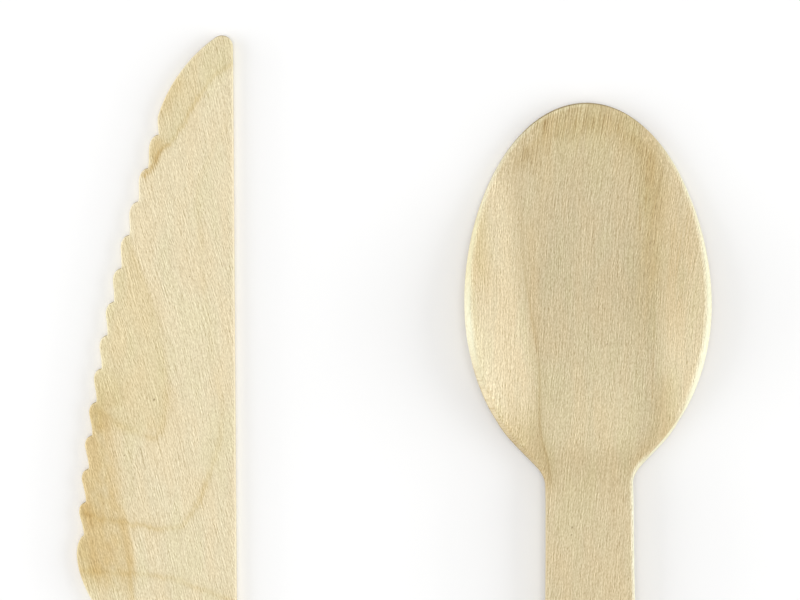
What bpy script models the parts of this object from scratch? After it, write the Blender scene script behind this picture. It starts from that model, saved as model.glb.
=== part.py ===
"""Disposable wooden cutlery: a toothed knife and a pressed spoon.

Both pieces are die-cut from thin birch veneer.  The knife stays flat.  The
spoon is pressed hot: the sides of its bowl fold up along two creases that run
with the grain, the tip turns up a little, and the neck climbs to the handle.

Units are metres.  +Z is up, +Y runs from the handle ends to the tips, +X is to
the right.  The pieces lie side by side on the plane Z = 0.
"""
import math

import bmesh
import bpy
from mathutils import Vector

MM = 0.001

# ---------------------------------------------------------------- sheet
SHEET_T = 1.7            # veneer thickness
EASE = 0.3               # radius that tumbling leaves on every cut edge

# ---------------------------------------------------------------- layout
GAP_SPINE_TO_SPOON_AXIS = 48.43  # knife spine to the spoon's centre line, at their tips
TIP_STEP = 9.25                  # knife tip stands this far above the spoon tip
LEAN_DEG = 0.39                  # both pieces lie slightly turned

# ---------------------------------------------------------------- knife
KNIFE_L = 165.0
TIP_R = 1.5              # round between the spine and the nose arc
NOSE_R = 21.0            # convex nose, from the tip to the first flank
NOSE_CENTRE = (-9.64, 17.45)     # its centre: across from the spine, down from the tip
NOSE_END = 11.0          # the nose stops this far down from the tip
BELLY_R = 210.4          # the tooth crests follow this large arc
BELLY_CENTRE = (-188.3, 80.7)
TOOTH_FIRST = 13.5       # first notch, down from the tip
TOOTH_PITCH = 4.57
TOOTH_COUNT = 12         # whole teeth between the first and the last notch
TOOTH_DEPTH = 0.84
SHOULDER = 0.27          # share of a tooth taken by its rounded shoulder
HEEL_CREST = 70.8        # widest point, below the last notch
HEEL_END = 91.0          # the blade has run down into the handle here
KNIFE_HANDLE_W = 13.7    # narrowest handle width
KNIFE_END_W = 17.2       # handle width near its end
KNIFE_END_R = 8.6        # length of the round end

# ---------------------------------------------------------------- spoon
SPOON_L = 156.0
BOWL_A = 16.67           # half width of the bowl, on the sheet's middle surface
BOWL_WIDEST = 27.2       # widest point, down from the tip
BOWL_B_LOW = 24.25       # half length of the lower ellipse
NECK_STEEP = 0.922       # below this share of the ellipse the side runs on straight
NECK_W = 11.98
NECK_BLEND = 3.8         # softness of the corner between bowl and handle
SPOON_END_W = 16.8
SPOON_END_R = 8.4
FLARE_START = 54.0       # the handle starts to widen here

CREASE_LEFT = 9.2        # floor strip of the bowl, left of the centre line
CREASE_PINCH = 2.4       # the left crease moves in by this between two stations
PINCH_SPAN = (18.0, 44.0)
CREASE_RIGHT = 10.2      # right of the centre line
CLOSE_LEFT = 0.2         # below PINCH_SPAN the creases run in by this per millimetre
CLOSE_RIGHT = 0.55
CREASE_SOFT = 1.6        # how gently the floor turns up into the flank
FLANK_SLOPE = 0.40       # rise of the flanks beside the crease (22 degrees)
FLANK_CURL = 0.0147      # and how much steeper they get per millimetre outwards
FLANK_IN = (2.0, 31.0)   # the slope grows between these stations
FLANK_OUT = (44.0, 54.5) # and dies out between these
TIP_FOLD = 6.5           # the tip turns up from here
TIP_SLOPE = 0.13
NECK_RISE = (44.0, 55.5) # the neck climbs between these stations
NECK_H = 2.4             # height of the handle's underside at the neck


def clean_scene():
    for obj in list(bpy.data.objects):
        bpy.data.objects.remove(obj, do_unlink=True)


def smoothstep(x):
    x = min(1.0, max(0.0, x))
    return x * x * (3.0 - 2.0 * x)


def bezier(p0, p1, p2, p3, n):
    """n points of a cubic, without its first one."""
    out = []
    for i in range(1, n + 1):
        t = i / n
        s = 1.0 - t
        out.append(tuple(s ** 3 * a + 3 * s * s * t * b + 3 * s * t * t * c + t ** 3 * d
                         for a, b, c, d in zip(p0, p1, p2, p3)))
    return out


# ================================================================== knife
# The outline is drawn as (w, d): w is the distance from the straight spine,
# d the distance down from the tip.

def crest(d):
    """Distance from the spine to the arc that the tooth crests follow."""
    return BELLY_CENTRE[0] + math.sqrt(BELLY_R ** 2 - (BELLY_CENTRE[1] - d) ** 2)


def nose(d):
    return NOSE_CENTRE[0] + math.sqrt(NOSE_R ** 2 - (NOSE_CENTRE[1] - d) ** 2)


def handle_edge(d):
    """Toothed side of the handle: down from the heel, then slowly out again."""
    s = smoothstep((d - HEEL_CREST) / (HEEL_END - HEEL_CREST))
    flare = smoothstep((d - HEEL_END) / (KNIFE_L - KNIFE_END_R - HEEL_END))
    inner = KNIFE_HANDLE_W + (KNIFE_END_W - KNIFE_HANDLE_W) * flare
    return crest(HEEL_CREST) * (1.0 - s) + inner * s


def knife_outline():
    pts = []
    # round tip: a small circle that touches the spine and the nose arc
    reach = NOSE_R - TIP_R
    across = TIP_R - NOSE_CENTRE[0]
    tip_c = (TIP_R, NOSE_CENTRE[1] - math.sqrt(reach ** 2 - across ** 2))
    a_end = math.atan2(NOSE_CENTRE[1] - tip_c[1], tip_c[0] - NOSE_CENTRE[0])
    steps = 9
    for i in range(steps + 1):
        a = math.pi + (a_end - math.pi) * i / steps
        pts.append((tip_c[0] + TIP_R * math.cos(a), tip_c[1] - TIP_R * math.sin(a)))
    # nose arc
    d0 = pts[-1][1]
    steps = 16
    for i in range(1, steps + 1):
        # even steps of angle round the nose centre
        a0 = math.asin((NOSE_CENTRE[1] - d0) / NOSE_R)
        a1 = math.asin((NOSE_CENTRE[1] - NOSE_END) / NOSE_R)
        a = a0 + (a1 - a0) * i / steps
        pts.append((NOSE_CENTRE[0] + NOSE_R * math.cos(a), NOSE_CENTRE[1] - NOSE_R * math.sin(a)))
    # first flank, from the nose down to the first notch
    w0, d0 = pts[-1]
    w1, d1 = crest(TOOTH_FIRST) - TOOTH_DEPTH, TOOTH_FIRST
    pts += bezier((w0, d0), (w0 + 0.10, d0 + 0.5), (w1 + 0.02, d1 - 0.6), (w1, d1), 5)
    # teeth: a short rounded shoulder, then a long flank into the next notch
    for k in range(TOOTH_COUNT):
        a = TOOTH_FIRST + TOOTH_PITCH * k
        b = a + TOOTH_PITCH
        round_in = k / (TOOTH_COUNT - 1.0)      # notches open out towards the heel

        def at(u, v):
            d = a + u * TOOTH_PITCH
            return (crest(d) - TOOTH_DEPTH * (1.0 - v), d)

        pts += bezier(at(0.0, 0.0), at(0.01 + 0.04 * round_in, 0.58), at(0.09, 1.0), at(SHOULDER, 1.0), 5)
        pts += bezier(at(SHOULDER, 1.0), at(0.42, 1.0), at(0.80 - 0.06 * round_in, 0.12 - 0.12 * round_in),
                      at(1.0, 0.0), 5)
    # heel crest below the last notch
    w, d = pts[-1]
    top = (crest(HEEL_CREST), HEEL_CREST)
    pts += bezier((w, d), (w + 0.38, d + 0.25), (top[0] - 0.02, top[1] - 1.5), top, 6)
    # down to the handle and along it
    steps = 16
    for i in range(1, steps + 1):
        d = HEEL_CREST + (HEEL_END - HEEL_CREST) * i / steps
        pts.append((handle_edge(d), d))
    steps = 12
    d_end = KNIFE_L - KNIFE_END_R
    for i in range(1, steps + 1):
        d = HEEL_END + (d_end - HEEL_END) * i / steps
        pts.append((handle_edge(d), d))
    # round end
    steps = 22
    half = handle_edge(d_end) / 2.0
    for i in range(1, steps + 1):
        a = math.pi * i / steps
        pts.append((half + half * math.cos(a), d_end + KNIFE_END_R * math.sin(a)))
    # spine, back up to the tip
    steps = 10
    for i in range(1, steps):
        pts.append((0.0, d_end + (tip_c[1] - d_end) * i / steps))
    # to x, y in the knife's own frame: spine on x = 0, blade towards -x, tip at y = 0
    return [Vector((-w, -d, 0.0)) for w, d in pts]


def inset(loop, amount):
    """Move a closed loop (counter-clockwise) inwards by an amount."""
    out = []
    n = len(loop)
    for i in range(n):
        p, q, r = loop[i - 1], loop[i], loop[(i + 1) % n]
        e1 = (q - p).normalized()
        e2 = (r - q).normalized()
        n1 = Vector((-e1.y, e1.x, 0.0))
        n2 = Vector((-e2.y, e2.x, 0.0))
        m = (n1 + n2).normalized()
        out.append(q + m * (amount / max(0.6, m.dot(n1))))
    return out


def knife_mesh():
    loop = knife_outline()
    sections = []                       # (inset, height) from the underside to the top
    arc = 2
    for i in range(arc + 1):
        a = math.pi / 2 * i / arc
        sections.append((EASE * (1 - math.sin(a)), EASE * (1 - math.cos(a))))
    for i in range(arc + 1):
        a = math.pi / 2 * i / arc
        sections.append((EASE * (1 - math.cos(a)), SHEET_T - EASE * (1 - math.sin(a))))
    bm = bmesh.new()
    rings = []
    for amount, z in sections:
        ring = inset(loop, amount) if amount > 1e-9 else loop
        rings.append([bm.verts.new((p.x * MM, p.y * MM, z * MM)) for p in ring])
    n = len(loop)
    for low, high in zip(rings, rings[1:]):
        for i in range(n):
            j = (i + 1) % n
            bm.faces.new((low[i], low[j], high[j], high[i]))
    top = bm.faces.new(rings[-1])
    bottom = bm.faces.new(list(reversed(rings[0])))
    bmesh.ops.triangulate(bm, faces=[top, bottom])
    bmesh.ops.recalc_face_normals(bm, faces=bm.faces)
    return bm


# ================================================================== spoon
# x runs across, v down from the tip, both along the sheet's middle surface as
# seen from above.

def spoon_handle_half(v):
    t = max(0.0, (v - FLARE_START) / (SPOON_L - SPOON_END_R - FLARE_START))
    return NECK_W / 2 + (SPOON_END_W - NECK_W) / 2 * min(t, 1.0) ** 1.6


def spoon_half(v):
    if v <= BOWL_WIDEST:
        return BOWL_A * math.sqrt(max(0.0, 1 - ((BOWL_WIDEST - v) / BOWL_WIDEST) ** 2))
    end = SPOON_L - SPOON_END_R
    if v >= end:
        return SPOON_END_W / 2 * math.sqrt(max(0.0, 1 - ((v - end) / SPOON_END_R) ** 2))
    u = (v - BOWL_WIDEST) / BOWL_B_LOW
    side = math.sqrt(1 - min(u, NECK_STEEP) ** 2)
    bowl = BOWL_A * (side - max(0.0, u - NECK_STEEP) * NECK_STEEP / side)
    stem = spoon_handle_half(v)
    k = max(0.0, 1.0 - abs(bowl - stem) / NECK_BLEND)
    return max(bowl, stem) + k * k * NECK_BLEND / 4


def soft(r, width):
    return 0.5 * (r + math.sqrt(r * r + width * width))


def crease(x, v):
    """Distance from the centre line to the crease on the side of x."""
    below = max(0.0, v - PINCH_SPAN[1])
    if x < 0:
        pinch = smoothstep((v - PINCH_SPAN[0]) / (PINCH_SPAN[1] - PINCH_SPAN[0]))
        return max(2.0, CREASE_LEFT - CREASE_PINCH * pinch - CLOSE_LEFT * below)
    return max(2.0, CREASE_RIGHT - CLOSE_RIGHT * below)


def rise(r):
    """Height of a flank of full slope at r outwards from its crease."""
    s = soft(r, CREASE_SOFT)
    return FLANK_SLOPE * s + FLANK_CURL * s * s / 2


def spoon_height(x, v):
    """Height of the middle surface above the lowest point of the same surface."""
    fold = crease(x, v)
    full = smoothstep((v - FLANK_IN[0]) / (FLANK_IN[1] - FLANK_IN[0]))
    full *= 1.0 - smoothstep((v - FLANK_OUT[0]) / (FLANK_OUT[1] - FLANK_OUT[0]))
    flank = full * (rise(abs(x) - fold) - rise(-fold))
    tip = TIP_SLOPE * (soft(TIP_FOLD - v, 1.5) - soft(TIP_FOLD - 40.0, 1.5))
    climb = smoothstep((v - NECK_RISE[0]) / (NECK_RISE[1] - NECK_RISE[0]))
    stem = NECK_H * (SPOON_L - v) / (SPOON_L - NECK_RISE[1])
    return flank + max(0.0, tip) + climb * stem


def spoon_point(x, v, offset):
    """Point at a height over the middle surface, measured along its normal."""
    e = 0.02
    dx = (spoon_height(x + e, v) - spoon_height(x - e, v)) / (2 * e)
    dv = (spoon_height(x, v + e) - spoon_height(x, v - e)) / (2 * e)
    normal = Vector((-dx, dv, 1.0)).normalized()      # y = -v
    return Vector((x, -v, spoon_height(x, v) + SHEET_T / 2)) + normal * offset


def spoon_outline():
    """Stations down the right side from the tip to the handle end."""
    v = []
    steps = 14
    for i in range(1, steps + 1):
        v.append(BOWL_WIDEST * (1 - math.cos(math.pi / 2 * i / steps)))
    steps = 11
    for i in range(1, steps + 1):
        v.append(BOWL_WIDEST + BOWL_B_LOW * 0.93 * math.sin(math.pi / 2 * i / steps * 0.93))
    v_neck = v[-1]
    for i in range(1, 6):
        v.append(v_neck + (FLARE_START - v_neck) * i / 5)
    end = SPOON_L - SPOON_END_R
    for i in range(1, 12):
        v.append(FLARE_START + (end - FLARE_START) * i / 11)
    for i in range(1, 9):
        v.append(end + SPOON_END_R * math.sin(math.pi / 2 * i / 9))
    right = [(spoon_half(s), s) for s in v]
    left = [(-x, s) for x, s in reversed(right)]
    # clockwise as (x, v), so counter-clockwise seen from above as (x, y = -v)
    return [(0.0, 0.0)] + left[::-1] + [(0.0, SPOON_L)] + right[::-1]


def spoon_mesh():
    outline = spoon_outline()
    n = len(outline)
    loop = [Vector((x, -v, 0.0)) for x, v in outline]
    fan_tip, fan_end = 12.0, SPOON_L - SPOON_END_R

    def towards_centre(p, share):
        c = Vector((0.0, -min(max(-p.y, fan_tip), fan_end), 0.0))
        return c + (p - c) * share

    bm = bmesh.new()

    def ring(plan, offset):
        return [bm.verts.new(spoon_point(p.x, -p.y, offset) * MM) for p in plan]

    eased = inset(loop, EASE)
    shares = [1.0, 0.9, 0.79, 0.69, 0.6, 0.51, 0.42, 0.3, 0.16, 0.0]
    half = SHEET_T / 2
    rings = []
    for share in reversed(shares):                       # underside, centre to edge
        rings.append(ring([towards_centre(p, share) for p in eased], -half))
    arc = 2
    for i in range(1, arc + 1):
        a = math.pi / 2 * i / arc
        rings.append(ring(inset(loop, EASE * (1 - math.sin(a))) if i < arc else loop,
                          -half + EASE * (1 - math.cos(a))))
    for i in range(arc):
        a = math.pi / 2 * i / arc
        rings.append(ring(inset(loop, EASE * (1 - math.cos(a))) if i else loop,
                          half - EASE * (1 - math.sin(a))))
    for share in shares:                                 # upper side, edge to centre
        rings.append(ring([towards_centre(p, share) for p in eased], half))
    for low, high in zip(rings, rings[1:]):
        for i in range(n):
            j = (i + 1) % n
            bm.faces.new((low[i], low[j], high[j], high[i]))
    # the first and last rings fold onto the centre line
    bmesh.ops.remove_doubles(bm, verts=bm.verts, dist=1e-7)
    bmesh.ops.dissolve_degenerate(bm, dist=1e-8, edges=bm.edges)
    bmesh.ops.triangulate(bm, faces=bm.faces)
    bmesh.ops.recalc_face_normals(bm, faces=bm.faces)
    return bm


# ================================================================== assembly

def material(name, colour, roughness):
    mat = bpy.data.materials.new(name)
    mat.use_nodes = True
    shader = mat.node_tree.nodes["Principled BSDF"]
    shader.inputs["Base Color"].default_value = (*colour, 1.0)
    shader.inputs["Roughness"].default_value = roughness
    shader.inputs["Metallic"].default_value = 0.0
    return mat


def add(name, bm, parent, place, turn_deg, mat):
    mesh = bpy.data.meshes.new(name)
    bm.to_mesh(mesh)
    bm.free()
    mesh.materials.append(mat)
    mesh.shade_smooth()
    mesh.set_sharp_from_angle(angle=math.radians(40))
    obj = bpy.data.objects.new(name, mesh)
    bpy.context.scene.collection.objects.link(obj)
    obj.parent = parent
    obj.location = [c * MM for c in place]
    obj.rotation_euler = (0.0, 0.0, math.radians(turn_deg))
    return obj


def main():
    clean_scene()
    base = bpy.data.objects.new("cutlery_set", None)
    bpy.context.scene.collection.objects.link(base)
    knife = add("knife", knife_mesh(), base, (0.0, TIP_STEP, 0.0), LEAN_DEG,
                material("knife_birch", (0.787, 0.672, 0.445), 0.62))
    spoon = add("spoon", spoon_mesh(), base, (GAP_SPINE_TO_SPOON_AXIS, 0.0, 0.0), LEAN_DEG,
                material("spoon_birch", (0.680, 0.560, 0.342), 0.62))
    # put the middle of the set's footprint on the origin
    bpy.context.view_layer.update()
    points = [obj.matrix_world @ v.co for obj in (knife, spoon) for v in obj.data.vertices]
    low = [min(p[i] for p in points) for i in range(3)]
    high = [max(p[i] for p in points) for i in range(3)]
    base.location = (-(low[0] + high[0]) / 2, -(low[1] + high[1]) / 2, -low[2])
    bpy.context.view_layer.update()


main()
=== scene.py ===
"""Looks of a disposable birch knife and spoon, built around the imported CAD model.

Lengths in the helpers are millimetres, as the construction's are; meshes are
written in metres, in the CAD frame.
"""

import math

import bmesh
import bpy
import numpy as np
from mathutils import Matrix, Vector, noise


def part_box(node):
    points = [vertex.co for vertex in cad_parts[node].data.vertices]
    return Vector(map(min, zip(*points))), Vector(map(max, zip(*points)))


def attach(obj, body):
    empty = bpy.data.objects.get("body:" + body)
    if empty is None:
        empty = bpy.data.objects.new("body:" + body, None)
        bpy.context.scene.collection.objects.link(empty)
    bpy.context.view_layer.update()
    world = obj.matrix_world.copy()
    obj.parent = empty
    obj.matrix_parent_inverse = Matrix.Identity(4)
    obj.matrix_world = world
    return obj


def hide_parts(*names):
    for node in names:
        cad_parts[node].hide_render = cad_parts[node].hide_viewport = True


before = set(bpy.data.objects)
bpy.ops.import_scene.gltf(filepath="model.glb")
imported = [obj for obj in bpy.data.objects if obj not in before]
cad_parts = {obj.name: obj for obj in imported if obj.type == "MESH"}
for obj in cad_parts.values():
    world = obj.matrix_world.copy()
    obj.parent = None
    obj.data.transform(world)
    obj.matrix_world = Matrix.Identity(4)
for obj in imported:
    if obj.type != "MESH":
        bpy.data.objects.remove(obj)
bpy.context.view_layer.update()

MM = 0.001

# ---------------------------------------------------------------- construction
# The same driving dimensions as the CAD model.
SHEET_T = 1.7
EASE = 0.3
GAP_SPINE_TO_SPOON_AXIS = 48.43
TIP_STEP = 9.25
LEAN_DEG = 0.39
SET_PLACE = (-22.069, 73.362)      # the knife's spine at the level of the spoon's tip

KNIFE_L = 165.0
TIP_R = 1.5
NOSE_R = 21.0
NOSE_CENTRE = (-9.64, 17.45)
NOSE_END = 11.0
BELLY_R = 210.4
BELLY_CENTRE = (-188.3, 80.7)
TOOTH_FIRST = 13.5
TOOTH_PITCH = 4.57
TOOTH_COUNT = 12
TOOTH_DEPTH = 0.84
SHOULDER = 0.27
HEEL_CREST = 70.8
HEEL_END = 91.0
KNIFE_HANDLE_W = 13.7
KNIFE_END_W = 17.2
KNIFE_END_R = 8.6

SPOON_L = 156.0
BOWL_A = 16.67
BOWL_WIDEST = 27.2
BOWL_B_LOW = 24.25
NECK_STEEP = 0.922
NECK_W = 11.98
NECK_BLEND = 3.8
SPOON_END_W = 16.8
SPOON_END_R = 8.4
FLARE_START = 54.0
CREASE_LEFT = 9.2
CREASE_PINCH = 2.4
PINCH_SPAN = (18.0, 44.0)
CREASE_RIGHT = 10.2
CLOSE_LEFT = 0.2
CLOSE_RIGHT = 0.55
CREASE_SOFT = 1.6
FLANK_SLOPE = 0.40
FLANK_CURL = 0.0147
FLANK_IN = (2.0, 31.0)
FLANK_OUT = (44.0, 54.5)
TIP_FOLD = 6.5
TIP_SLOPE = 0.13
NECK_RISE = (44.0, 55.5)
NECK_H = 2.4


def smoothstep(x):
    x = np.clip(x, 0.0, 1.0)
    return x * x * (3.0 - 2.0 * x)


def bezier(p0, p1, p2, p3, n):
    t = np.arange(1, n + 1)[:, None] / n
    s = 1.0 - t
    p0, p1, p2, p3 = (np.array(p, float) for p in (p0, p1, p2, p3))
    return s ** 3 * p0 + 3 * s * s * t * p1 + 3 * s * t * t * p2 + t ** 3 * p3


# ================================================================== meshes

def loft(name, node, left, right, centre, shape, top_shares, under_shares, place, wear, fields, arc=5):
    """A sheet of wood with eased edges, from its paired outline stations.

    left, right and centre are arrays (n, 2) of (across, along) from the tip to
    the handle end, the first and last stations meeting in one point.  shape
    gives a point of the sheet from (across, along, offset from its middle), wear how
    far the outline is worn back, fields what else the material needs to know.
    """
    n = len(left)
    loop = np.vstack([left, right[-2:0:-1]])               # closed, tip first
    mid = np.vstack([centre, centre[-2:0:-1]])
    along_sign = 1.0 if signed_area(loop) > 0 else -1.0

    ahead = np.roll(loop, -1, 0) - loop
    ahead /= np.linalg.norm(ahead, axis=1)[:, None]
    back = np.roll(ahead, 1, 0)
    n1 = np.stack([-ahead[:, 1], ahead[:, 0]], 1) * along_sign
    n2 = np.stack([-back[:, 1], back[:, 0]], 1) * along_sign
    inward = n1 + n2
    inward /= np.linalg.norm(inward, axis=1)[:, None]
    miter = 1.0 / np.maximum(0.6, (inward * n1).sum(1))

    loop = loop + inward * wear(loop)[:, None]

    def inset(amount):
        return loop + inward * (miter * amount)[:, None]

    half = SHEET_T / 2
    eased = inset(EASE)
    plans, offsets, insets = [], [], []
    for share in reversed(under_shares):
        plans.append(mid + (eased - mid) * share)
        offsets.append(-half)
        insets.append((1 - share) * np.linalg.norm(eased - mid, axis=1))
    for i in range(1, arc + 1):
        a = math.pi / 2 * i / arc
        plans.append(inset(EASE * (1 - math.sin(a))))
        offsets.append(-half + EASE * (1 - math.cos(a)))
        insets.append(np.zeros(len(loop)))
    for f in (0.3, 0.5, 0.7):
        plans.append(loop.copy())
        offsets.append((-half + EASE) * (1 - f) + (half - EASE) * f)
        insets.append(np.zeros(len(loop)))
    for i in range(arc):
        a = math.pi / 2 * i / arc
        plans.append(inset(EASE * (1 - math.cos(a))))
        offsets.append(half - EASE * (1 - math.sin(a)))
        insets.append(np.zeros(len(loop)))
    for share in top_shares:
        plans.append(mid + (eased - mid) * share)
        offsets.append(half)
        insets.append((1 - share) * np.linalg.norm(eased - mid, axis=1))

    rings, m = len(plans), len(loop)
    plan = np.concatenate(plans)
    offset = np.repeat(np.array(offsets, float), m)
    inset_mm = np.concatenate(insets)
    points, sheet = shape(plan[:, 0], plan[:, 1], offset, np.clip(inset_mm / 0.8, 0, 1))
    lean = math.radians(LEAN_DEG)
    world = np.empty_like(points)
    world[:, 0] = points[:, 0] * math.cos(lean) - points[:, 1] * math.sin(lean) + place[0]
    world[:, 1] = points[:, 0] * math.sin(lean) + points[:, 1] * math.cos(lean) + place[1]
    world[:, 2] = points[:, 2]

    low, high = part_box(node)
    for i in range(3):                                     # no larger than the construction
        a, b = world[:, i].min(), world[:, i].max()
        c, d = low[i] / MM, high[i] / MM
        lo, hi = max(a, c), min(b, d)
        world[:, i] = lo + (world[:, i] - a) * ((hi - lo) / (b - a))

    bm = bmesh.new()
    known = {"sheet": sheet, "edge": np.stack([inset_mm, 0 * inset_mm, 0 * inset_mm], 1),
             **fields(sheet[:, 0], sheet[:, 1])}
    layers = [(bm.verts.layers.float_vector.new(k), values) for k, values in known.items()]
    verts = []
    for i, p in enumerate(world * MM):
        v = bm.verts.new(p)
        for layer, values in layers:
            v[layer] = values[i]
        verts.append(v)
    for r in range(rings - 1):
        for i in range(m):
            j = (i + 1) % m
            bm.faces.new((verts[r * m + i], verts[r * m + j], verts[(r + 1) * m + j], verts[(r + 1) * m + i]))
    bmesh.ops.remove_doubles(bm, verts=bm.verts, dist=2e-7)
    bmesh.ops.dissolve_degenerate(bm, dist=2e-8, edges=bm.edges)
    bmesh.ops.recalc_face_normals(bm, faces=bm.faces)
    mesh = bpy.data.meshes.new(name)
    bm.to_mesh(mesh)
    bm.free()
    mesh.shade_smooth()
    obj = bpy.data.objects.new(name, mesh)
    bpy.context.scene.collection.objects.link(obj)
    return obj


def steady(points, per_step=10):
    """A smooth curve through points."""
    p = np.array(points, float)
    p = np.vstack([2 * p[0] - p[1], p, 2 * p[-1] - p[-2]])
    t = np.linspace(0, 1, per_step, endpoint=False)[:, None]
    out = []
    for a, b, c, d in zip(p, p[1:], p[2:], p[3:]):
        out.append(0.5 * (2 * b + (c - a) * t + (2 * a - 5 * b + 4 * c - d) * t ** 2
                          + (3 * b - a - 3 * c + d) * t ** 3))
    out.append(p[-2][None])
    return np.concatenate(out)


def off_course(x, y, points):
    """Distance from each (x, y) to a smooth course, positive on its left."""
    path = steady(points)
    best = np.full(len(x), 1e9)
    side = np.ones(len(x))
    for (ax, ay), (bx, by) in zip(path, path[1:]):
        ux, uy = bx - ax, by - ay
        t = np.clip(((x - ax) * ux + (y - ay) * uy) / (ux * ux + uy * uy), 0, 1)
        d = np.hypot(x - ax - t * ux, y - ay - t * uy)
        near = d < best
        best[near] = d[near]
        side[near] = np.where((ux * (y - ay) - uy * (x - ax))[near] >= 0, 1.0, -1.0)
    return best * side


def signed_area(loop):
    x, y = loop[:, 0], loop[:, 1]
    return 0.5 * float(np.sum(x * np.roll(y, -1) - np.roll(x, -1) * y))


def relief(a, l, seed):
    """How far the face dips below true, in millimetres: peeled veneer is never quite flat."""
    out = np.empty(len(a))
    for i in range(len(a)):
        x, y = float(a[i]), float(l[i])
        broad = noise.noise(Vector((x * 0.16 + seed, y * 0.035, seed)))
        band = noise.noise(Vector((x * 0.75, y * 0.03 + seed, seed * 2.0)))
        line = noise.noise(Vector((x * 2.3 + seed, y * 0.11, seed * 3.0)))
        out[i] = 0.022 * (0.5 + 0.5 * broad) + 0.010 * (0.5 + 0.5 * band) + 0.006 * (0.5 + 0.5 * line)
    return out


def worn(loop, rate, depth, seed):
    out = np.empty(len(loop))
    for i, (x, y) in enumerate(loop):
        slow = noise.noise(Vector((x * 0.25, y * 0.25, seed)))
        quick = noise.noise(Vector((x * rate, y * rate, seed + 5.0)))
        out[i] = depth * max(0.0, 0.5 + 0.5 * slow + 0.6 * quick)
    return out


# ------------------------------------------------------------------ knife

def crest(d):
    return BELLY_CENTRE[0] + np.sqrt(BELLY_R ** 2 - (BELLY_CENTRE[1] - d) ** 2)


def handle_edge(d):
    s = smoothstep((d - HEEL_CREST) / (HEEL_END - HEEL_CREST))
    flare = smoothstep((d - HEEL_END) / (KNIFE_L - KNIFE_END_R - HEEL_END))
    inner = KNIFE_HANDLE_W + (KNIFE_END_W - KNIFE_HANDLE_W) * flare
    return crest(HEEL_CREST) * (1.0 - s) + inner * s


def knife_stations():
    """(w, d) down the toothed side, and the matching points of the spine side."""
    reach = NOSE_R - TIP_R
    across = TIP_R - NOSE_CENTRE[0]
    tip_c = (TIP_R, NOSE_CENTRE[1] - math.sqrt(reach ** 2 - across ** 2))
    a_end = math.atan2(NOSE_CENTRE[1] - tip_c[1], tip_c[0] - NOSE_CENTRE[0])
    # from the top of the tip circle towards the nose
    a = np.linspace(math.pi / 2, a_end, 14)
    pts = [np.stack([tip_c[0] + TIP_R * np.cos(a), tip_c[1] - TIP_R * np.sin(a)], 1)]
    a0 = math.asin((NOSE_CENTRE[1] - pts[0][-1][1]) / NOSE_R)
    a1 = math.asin((NOSE_CENTRE[1] - NOSE_END) / NOSE_R)
    a = np.linspace(a0, a1, 70)[1:]
    pts.append(np.stack([NOSE_CENTRE[0] + NOSE_R * np.cos(a), NOSE_CENTRE[1] - NOSE_R * np.sin(a)], 1))
    w0, d0 = pts[-1][-1]
    w1, d1 = crest(TOOTH_FIRST) - TOOTH_DEPTH, TOOTH_FIRST
    pts.append(bezier((w0, d0), (w0 + 0.10, d0 + 0.5), (w1 + 0.02, d1 - 0.6), (w1, d1), 14))
    for k in range(TOOTH_COUNT):
        start = TOOTH_FIRST + TOOTH_PITCH * k
        round_in = k / (TOOTH_COUNT - 1.0)

        def at(u, v):
            d = start + u * TOOTH_PITCH
            return (float(crest(d)) - TOOTH_DEPTH * (1.0 - v), d)

        pts.append(bezier(at(0.0, 0.0), at(0.01 + 0.04 * round_in, 0.58), at(0.09, 1.0), at(SHOULDER, 1.0), 15))
        pts.append(bezier(at(SHOULDER, 1.0), at(0.42, 1.0), at(0.80 - 0.06 * round_in, 0.12 - 0.12 * round_in),
                          at(1.0, 0.0), 17))
    w, d = pts[-1][-1]
    top = (float(crest(HEEL_CREST)), HEEL_CREST)
    pts.append(bezier((w, d), (w + 0.38, d + 0.25), (top[0] - 0.02, top[1] - 1.5), top, 16))
    d = np.linspace(HEEL_CREST, HEEL_END, 50)[1:]
    pts.append(np.stack([handle_edge(d), d], 1))
    d_end = KNIFE_L - KNIFE_END_R
    d = np.linspace(HEEL_END, d_end, 90)[1:]
    pts.append(np.stack([handle_edge(d), d], 1))
    half = float(handle_edge(np.array(d_end))) / 2.0
    a = np.linspace(0, math.pi / 2, 34)[1:]
    pts.append(np.stack([half + half * np.cos(a), d_end + KNIFE_END_R * np.sin(a)], 1))
    left = np.concatenate(pts)
    d = left[:, 1]
    # the spine side at the same stations
    right_w = np.zeros(len(d))
    near = d < tip_c[1]
    right_w[near] = tip_c[0] - np.sqrt(np.maximum(0.0, TIP_R ** 2 - (tip_c[1] - d[near]) ** 2))
    far = d > d_end
    right_w[far] = half - half * np.sqrt(np.maximum(0.0, 1 - ((d[far] - d_end) / KNIFE_END_R) ** 2))
    right = np.stack([right_w, d], 1)
    right[0] = left[0]
    right[-1] = left[-1]
    return left, right


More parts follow.
